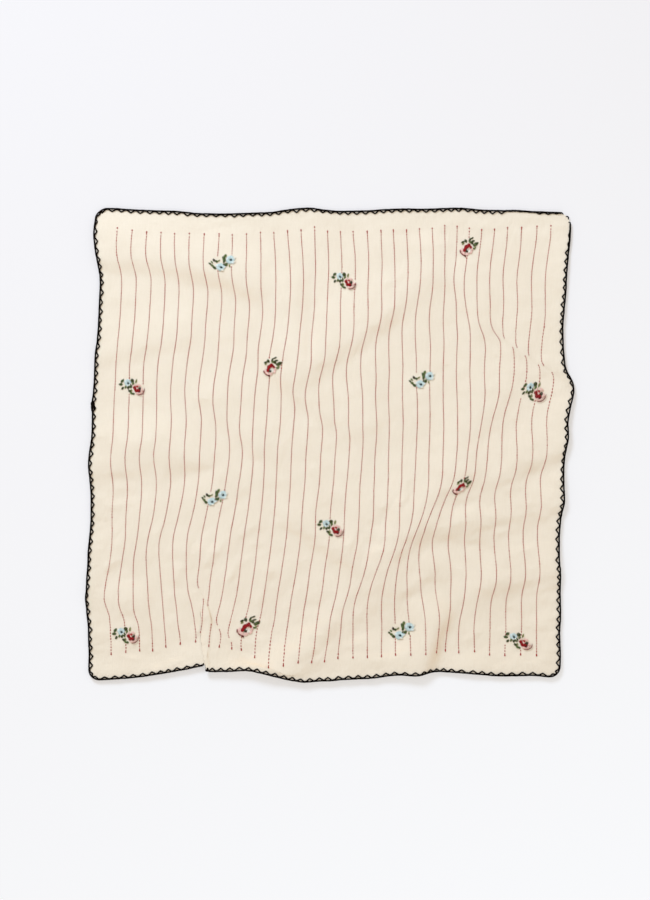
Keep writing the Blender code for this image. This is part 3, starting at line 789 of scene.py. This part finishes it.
def make_cloth(material):
    """The cloth: a thin closed sheet with a narrow hem, finer where it is lapped."""
    u, v = np.meshgrid(grid_lines(*FINE_ACROSS), grid_lines(*FINE_UP), indexing="ij")
    u, v = u.ravel(), v.ravel()
    size = CLOTH_CELLS + 1
    middle, normal = surface(u, v)
    from_edge = HALF - np.maximum(np.abs(u), np.abs(v))
    thick = THICKNESS + (HEM_THICKNESS - THICKNESS) * (1 - step((from_edge - HEM) / 1.5))
    rim_share, rim_round = 0.35, 1.2
    thick *= rim_share + (1 - rim_share) * step(from_edge / rim_round)
    half = thick[:, None] / 2
    points = np.concatenate([middle + normal * half, middle - normal * half])
    points[:, 2] = np.maximum(points[:, 2], 0.02)
    n = np.arange(size * size).reshape(size, size)
    top = np.stack([n[:-1, :-1], n[1:, :-1], n[1:, 1:], n[:-1, 1:]], -1).reshape(-1, 4)
    under = top[:, ::-1] + size * size
    around = np.concatenate([n[:-1, 0], n[-1, :-1], n[:0:-1, -1], n[0, :0:-1]])
    after = np.roll(around, -1)
    wall = np.stack([after, around, around + size * size, after + size * size], -1)
    faces = np.concatenate([top, under, wall])
    cloth = add_object("cloth", points, faces, [material])
    layer = cloth.data.uv_layers.new(name="flat")
    corner = np.empty(len(cloth.data.loops), dtype=np.int32)
    cloth.data.loops.foreach_get("vertex_index", corner)
    flat = np.stack([u, v], -1)[corner % (size * size)] / 100
    layer.data.foreach_set("uv", flat.astype(np.float32).ravel())
    # A lap in gauze shows no hard line, so it is shaded by the soft form of its fold.
    soft = surface(u, v, LAP_SOFTNESS)[1]
    agreement = (soft * normal).sum(1, keepdims=True)
    soft = np.where(np.abs(agreement) > 0.5, soft * np.sign(agreement), normal)
    cloth.data.normals_split_custom_set_from_vertices(np.concatenate([soft, -soft]))
    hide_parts("scarf_cloth")
    return cloth


def make_stripe(number, material, gaps, rng):
    """One stripe: a row of raised stitches along the warp that stops at the sprigs, knotted at its ends."""
    pitch, length, radius, rise = 3.15, 1.85, 0.44, 0.26
    u0 = (number - (STRIPES + 1) / 2) * PITCH
    low = -STRIPE_END + STRIPE_BOTTOMS.get(number, 0.0)
    high = STRIPE_END + STRIPE_TOPS.get(number, 0.0)
    starts = np.arange(low, high - length, pitch)
    for gap_u, gap_v, half_u, half_v in gaps:
        inside = ((u0 - gap_u) / half_u) ** 2 + ((starts + length / 2 - gap_v) / half_v) ** 2 < 1
        starts = starts[~inside]
    # A lap takes in the stitches where it closes the cloth up.
    starts = starts[closing(np.full_like(starts, u0), starts + length / 2) > LAP_TAKES_IN]
    shape = np.array([0.0, 0.16, 0.5, 0.84, 1.0])
    lift = np.array([-0.3, 0.8, 1.0, 0.8, -0.3]) * rise + THICKNESS / 2
    count = len(starts)
    drift = rng.normal(0, 0.07, (count, 1)) + rng.normal(0, 0.05, (count, 1)) * (shape - 0.5)
    v = starts[:, None] + shape * (length + rng.normal(0, 0.06, (count, 1)))
    u = u0 + drift
    middle, normal = surface(u.ravel(), v.ravel())
    routes = (middle + normal * np.tile(lift, count)[:, None]).reshape(count, len(shape), 3)
    ups = normal.reshape(count, len(shape), 3)
    plump = radius * (1 + rng.normal(0, 0.14, (count, 1)))
    parts = [closed_tubes(routes, ups, plump, flat=0.7, ends=0.6)]
    turn = np.linspace(0, 2 * np.pi, 9)
    for end in (low - 0.6, high + 0.2):
        middle, normal = surface(u0 + 0.42 * np.cos(turn), end + 0.5 * np.sin(turn))
        ring = middle + normal * (THICKNESS / 2 + 0.3)
        parts.append(closed_tubes(ring[None], normal[None], 0.38, ends=0.9))
    points, faces, _ = joined(parts)
    stripe = add_object(f"stripe_{number:02d}", points, faces, [material])
    return stripe


def satin(centre, x, y, length, width, turn, level, rng):
    """Satin stitches side by side over a lens, each from its one end to the other."""
    count = max(3, int(round(width / SATIN_PITCH)))
    pointed, narrowing, crown_height = 0.93, 0.18, 0.62
    across = (np.arange(count) + 0.5) / count * 2 - 1
    reach = np.sqrt(1 - (across * pointed) ** 2) * length / 2 * (1 + rng.normal(0, 0.07, count))
    shape = np.linspace(-1, 1, 5)
    a = np.radians(turn)
    along = shape * reach[:, None] + rng.normal(0, 0.12, (count, 1))
    beside = (across * width / 2)[:, None] * (1 - narrowing * shape ** 2) + rng.normal(0, 0.05, (count, 1))
    px = x + along * np.cos(a) - beside * np.sin(a)
    py = y + along * np.sin(a) + beside * np.cos(a)
    crown = crown_height * (1 - shape ** 2) * (1 - 0.35 * across[:, None] ** 2)
    lift = THICKNESS / 2 + 0.05 + level + crown + rng.normal(0, 0.05, (count, 1))
    return stitches_at(centre, px, py, lift, SATIN_RADIUS)


def curl(centre, x, y, radius, width, turn, bend, level, rng):
    """A bent line of short satin stitches, for the rim of a petal."""
    sweep = np.radians(bend)
    count = max(5, int(abs(sweep) * radius / SATIN_PITCH))
    angle = np.radians(turn) + sweep * np.linspace(0, 1, count)
    shape = np.linspace(-1, 1, 4)
    taper = 0.45 + 0.55 * np.sin(np.pi * np.linspace(0.05, 0.95, count))
    away = radius + shape * (width / 2 * taper)[:, None]
    slant = 0.16 * shape
    px = x + away * np.cos(angle[:, None] + slant)
    py = y + away * np.sin(angle[:, None] + slant)
    lift = THICKNESS / 2 + 0.1 + level + 0.5 * (1 - shape ** 2) + rng.normal(0, 0.04, (count, 1))
    return stitches_at(centre, px, py, lift, CURL_RADIUS)


def stitches_at(centre, px, py, lift, radius):
    """Thread over the cloth at lying places near a flat centre."""
    grow = HALF / LYING_HALF
    u, v = centre[0] + px * grow, centre[1] + py * grow
    middle, normal = surface(u.ravel(), v.ravel())
    routes = (middle + normal * lift.reshape(-1, 1)).reshape(*px.shape, 3)
    return closed_tubes(routes, normal.reshape(*px.shape, 3), radius, sides=5, flat=0.8)


def flower(centre, x, y, length, width, turn, petals, level, rng):
    """A ring of satin petals round a centre."""
    parts = []
    away = length * 0.56
    for angle in turn + 360 * np.arange(petals) / petals:
        a = np.radians(angle)
        at = (x + away * np.cos(a), y + away * np.sin(a))
        parts.append(satin(centre, *at, length, width, angle, level, rng))
    return parts


def make_sprig(name, kind, centre, materials, rng):
    """One embroidered sprig of the named kind, round a flat centre."""
    parts, threads = [], []
    for level, row in enumerate(SPRIGS[kind]):
        form = {"form": "leaf", **dict(zip(SPRIG_COLUMNS, row))}
        size = [form[column] for column in ("x", "y", "length", "width", "turn")]
        rise = FORM_RISE * level
        if form["form"] == "flower":
            made = flower(centre, *size, form["more"], rise, rng)
        elif form["form"] == "curl":
            made = [curl(centre, *size, form["more"], rise, rng)]
        else:
            made = [satin(centre, *size, rise, rng)]
        parts += made
        threads += [form["thread"]] * len(made)
    used = sorted(set(threads))
    points, faces, which = joined(parts)
    index = np.array([used.index(thread) for thread in threads])[which]
    sprig = add_object(name, points, faces, [materials[thread] for thread in used], index)
    return sprig


def round_the_edge(place, out):
    """Flat points a distance out from the edge. place runs from 0 to 4, a side for each whole number."""
    side = np.floor(place).astype(int) % 4
    along = (place - np.floor(place)) * SIDE - HALF
    reach = HALF + out
    along = np.where(along >= HALF - 1e-6, reach, np.clip(along, -reach, reach))
    u = np.choose(side, [along, reach, -along, -reach])
    v = np.choose(side, [-reach, along, reach, -along])
    return u, v


def edge_points(place, out, lift):
    """Points of the edging: a distance out from the cloth's edge, and lifted off its middle."""
    place, out = np.broadcast_arrays(np.asarray(place, float), np.asarray(out, float))
    u, v = round_the_edge(place.ravel(), out.ravel())
    points, normal = surface(u, v)
    points = points + normal * np.broadcast_to(lift, place.shape).reshape(-1, 1)
    return points.reshape(*place.shape, 3), normal.reshape(*place.shape, 3)


def share_along(place, rows):
    """How much of something shows at places along the edge, from rows of middle, half length and share."""
    most = np.zeros_like(place)
    for middle, half_length, share in rows:
        away = np.abs((place - middle + 2.0) % 4 - 2.0) * SIDE
        most = np.maximum(most, share * step(1 + (half_length - away) / 2.5))
    return most


def yarn_along(place, out, lift, radius):
    """Lengths of the edging's yarn at places along it, lowered and drawn in where the cloth hides it."""
    drawn_in, lowered, lowest = 2.2, 1.3, 0.5
    hidden = share_along(place, UNDER_CLOTH)
    routes, ups = edge_points(place % 4, out - drawn_in * hidden, lift * (1 - hidden))
    routes[..., 2] = np.maximum(routes[..., 2] - lowered * hidden, lowest)
    return tubes(routes, ups, radius * (1 - share_along(place, ROLLED_RAIL)), sides=5)


def make_chain(rng):
    """The chain along the edge: overlapping loops of yarn, three for each tooth."""
    loops = 4 * TEETH * 3
    pitch = 4.0 / loops
    overlap, half_width, tapering, lift, tilt = 0.82, 0.31, 0.08, 0.50, 0.30
    turn = np.linspace(0, 2 * np.pi, 11)
    start = np.arange(loops) * pitch
    place = start[:, None] + pitch / 2 + pitch * overlap * np.cos(turn)
    out = RAIL_OUT + (half_width + tapering * np.cos(turn)) * np.sin(turn) + rng.normal(0, 0.06, (loops, 1))
    return yarn_along(place, out, lift + tilt * np.cos(turn), CHAIN_RADIUS)


def make_teeth(rng):
    """The teeth: a V for each, whose legs are two strands twisted together. They are shorter at a corner."""
    pitch = 1 / TEETH
    tips = (np.arange(4 * TEETH) + 0.5 + rng.normal(0, 0.03, 4 * TEETH)) * pitch
    corner = np.abs((tips + 0.5) % 1 - 0.5) * SIDE
    shown = (0.75 + 0.25 * step((corner - 6) / 12)) * (1 - share_along(tips, ROLLED_TEETH))
    depth = (RAIL_OUT + TIP_IN + rng.normal(0, 0.22, 4 * TEETH)) * shown
    leg_reach, twist, ply_out, ply_up, lift, arch = 0.49, 7.0, 0.20, 0.22, 0.60, 0.25
    t = np.linspace(0, 1, 8)
    parts = []
    for hand in (-1, 1):
        place = tips[:, None] + hand * leg_reach * t * pitch
        out = RAIL_OUT - depth[:, None] * (1 - t)
        for strand in (0, 1):
            phase = np.pi * strand + t * twist
            twist_lift = lift + ply_up * np.sin(phase) + arch * np.sin(np.pi * t)
            thick = LEG_RADIUS + LEG_SWELL * t ** 3
            parts.append(yarn_along(place, out + ply_out * np.cos(phase), twist_lift, thick))
    return parts


def make_hooks():
    """Where two legs meet, the turn of yarn that the hook has drawn round the chain."""
    half_length, reach, lift = 0.9, 0.60, 0.85
    pitch = 1 / TEETH
    turn = np.linspace(0, 2 * np.pi, 8)
    place = np.arange(4 * TEETH)[:, None] * pitch + half_length / SIDE * np.cos(turn)
    return yarn_along(place, RAIL_OUT - reach + reach * np.sin(turn), lift, HOOK_RADIUS)


def make_edging(material, rng):
    """The crochet edging, in one piece."""
    points, faces, _ = joined([make_chain(rng), *make_teeth(rng), make_hooks()])
    edging = add_object("edging", points, faces, [material])
    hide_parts("crochet_edging")
    return edging


def make_knots(material, rng):
    """The edging's knots: a long one on the left edge, where its round was closed, and one at a corner."""
    turn = np.linspace(0, 2 * np.pi, 13)
    parts = []
    for (x, y), out, loops, size, length, tall in KNOTS:
        _, v = flat_place(x, y)
        middle, _ = surface(np.array([-HALF - out]), np.array([v]))
        for k in range(loops):
            tilt, lean = rng.uniform(-0.6, 0.6, 2)
            wide = size * (1 + 0.25 * rng.uniform(-1, 1))
            loop = np.stack([
                0.75 * wide * np.cos(turn) + 0.3 * rng.uniform(-1, 1),
                wide * np.sin(turn) * np.cos(tilt) + length * (k / (loops - 1) - 0.5),
                tall + 0.7 * np.sin(turn + lean) + 0.1 * k,
            ], -1)
            loop[:, :2] += middle[0, :2]
            ups = np.tile((0.2, 0.0, 1.0), (len(loop), 1))
            parts.append(tubes(loop[None], ups[None], KNOT_RADIUS))
    points, faces, _ = joined(parts)
    knots = add_object("edging_join", points, faces, [material])
    return knots


def make_floor():
    """The floor, a little under the scarf."""
    half, drop = 8.0, 0.0002
    mesh = bpy.data.meshes.new("floor")
    corners = [(-half, -half, -drop), (half, -half, -drop), (half, half, -drop), (-half, half, -drop)]
    mesh.from_pydata(corners, [], [(0, 1, 2, 3)])
    mesh.materials.append(floor_material())
    floor = bpy.data.objects.new("floor", mesh)
    bpy.context.collection.objects.link(floor)


def make_light():
    """A large soft lamp at the upper left, and a warmer light from all round."""
    key = bpy.data.lights.new("key", "AREA")
    key.shape = "DISK"
    key.size = 0.9
    key.energy = 44.6
    key.color = (0.82, 0.99, 1.24)
    lamp = bpy.data.objects.new("key", key)
    lamp.location = (-1.02, 1.98, 1.50)
    lamp.rotation_euler = (-Vector(lamp.location)).to_track_quat("-Z", "Y").to_euler()
    bpy.context.collection.objects.link(lamp)
    world = bpy.data.worlds.new("studio")
    bpy.context.scene.world = world
    world.use_nodes = True
    background = world.node_tree.nodes["Background"]
    background.inputs["Color"].default_value = (1.0, 0.938, 0.872, 1)
    background.inputs["Strength"].default_value = 0.70


def make_camera():
    """A camera straight above."""
    # In the photo a pixel is this many millimetres, and its middle lies this far off the cloth's.
    pixel, frame_height = 1.05, 900
    off_middle = np.array([-5.25, -5.25])
    lens, sensor = 85.0, 36.0
    data = bpy.data.cameras.new("camera")
    data.lens = lens
    data.sensor_width = sensor
    data.clip_end = 50
    camera = bpy.data.objects.new("camera", data)
    camera.location = (*(off_middle + SHIFT[:2]) * MM, frame_height * pixel * lens / sensor * MM)
    bpy.context.collection.objects.link(camera)
    bpy.context.scene.camera = camera
    bpy.context.scene.view_settings.view_transform = "Standard"


def main():
    """Make the cloth, what is sewn and worked on to it, and the stage."""
    rng = np.random.default_rng(5)
    materials = {
        name: thread_material(f"thread_{name}", colour, *FINISHES.get(name, EMBROIDERY_FINISH))
        for name, colour in THREADS.items()
    }
    cloth = make_cloth(gauze_material())
    centres = {kind: [flat_place(*place) for place in places] for kind, places in SPRIG_PLACES.items()}
    gaps = [(*centre, *SPRIG_GAPS[kind]) for kind in centres for centre in centres[kind]]
    sewn = [make_stripe(number, materials["stripe"], gaps, rng) for number in range(1, STRIPES + 1)]
    for kind in centres:
        for number, centre in enumerate(centres[kind], 1):
            sewn.append(make_sprig(f"sprig_{kind}_{number}", kind, centre, materials, rng))
    sewn.append(make_edging(materials["edging"], rng))
    sewn.append(make_knots(materials["edging"], rng))
    make_floor()
    make_light()
    make_camera()


main()
